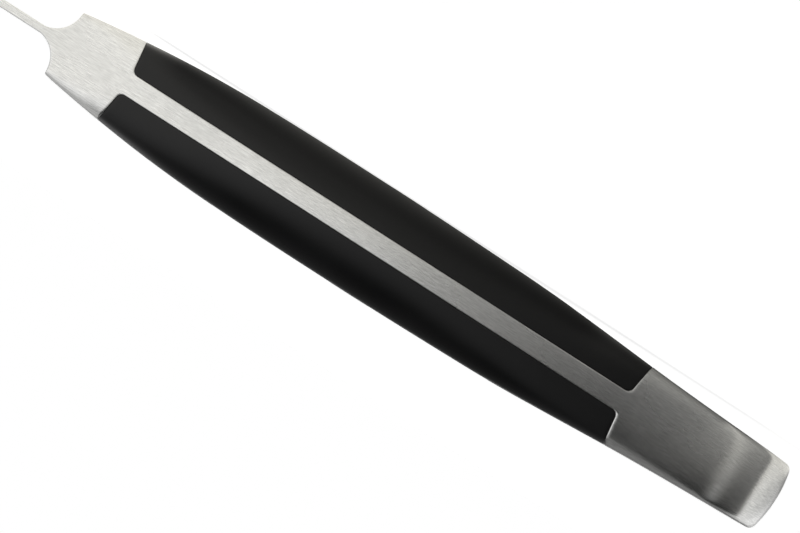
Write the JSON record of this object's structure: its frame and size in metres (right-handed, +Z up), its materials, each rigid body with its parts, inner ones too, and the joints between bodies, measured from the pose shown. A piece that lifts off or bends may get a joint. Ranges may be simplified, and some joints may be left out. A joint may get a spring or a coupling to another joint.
{
  "type": "fillet knife",
  "caption": "Fillet knife: a slim forged blade, bolster, full tang and butt cap in one piece of steel, with riveted black scales.",
  "frame": {"origin": "under the middle of the knife's box, on the surface that the knife lies on", "axes": "+X along the knife to the point; +Y from the spine to the cutting edge; +Z up, through the thickness, out of the left side"},
  "size_m": [0.31, 0.027, 0.0175],
  "materials": {
    "forged_steel": "satin, brushed along the length",
    "scale_black": "satin moulded black",
    "rivet_steel": "ground flush with the scale and satin"
  },
  "bodies": {
    "root": {"forging": "forged_steel", "left_scale": "scale_black", "right_scale": "scale_black", "front_rivet_pin": "rivet_steel", "front_rivet_tube": "rivet_steel", "middle_rivet_pin": "rivet_steel", "middle_rivet_tube": "rivet_steel", "rear_rivet_pin": "rivet_steel", "rear_rivet_tube": "rivet_steel"}
  },
  "joints": []
}
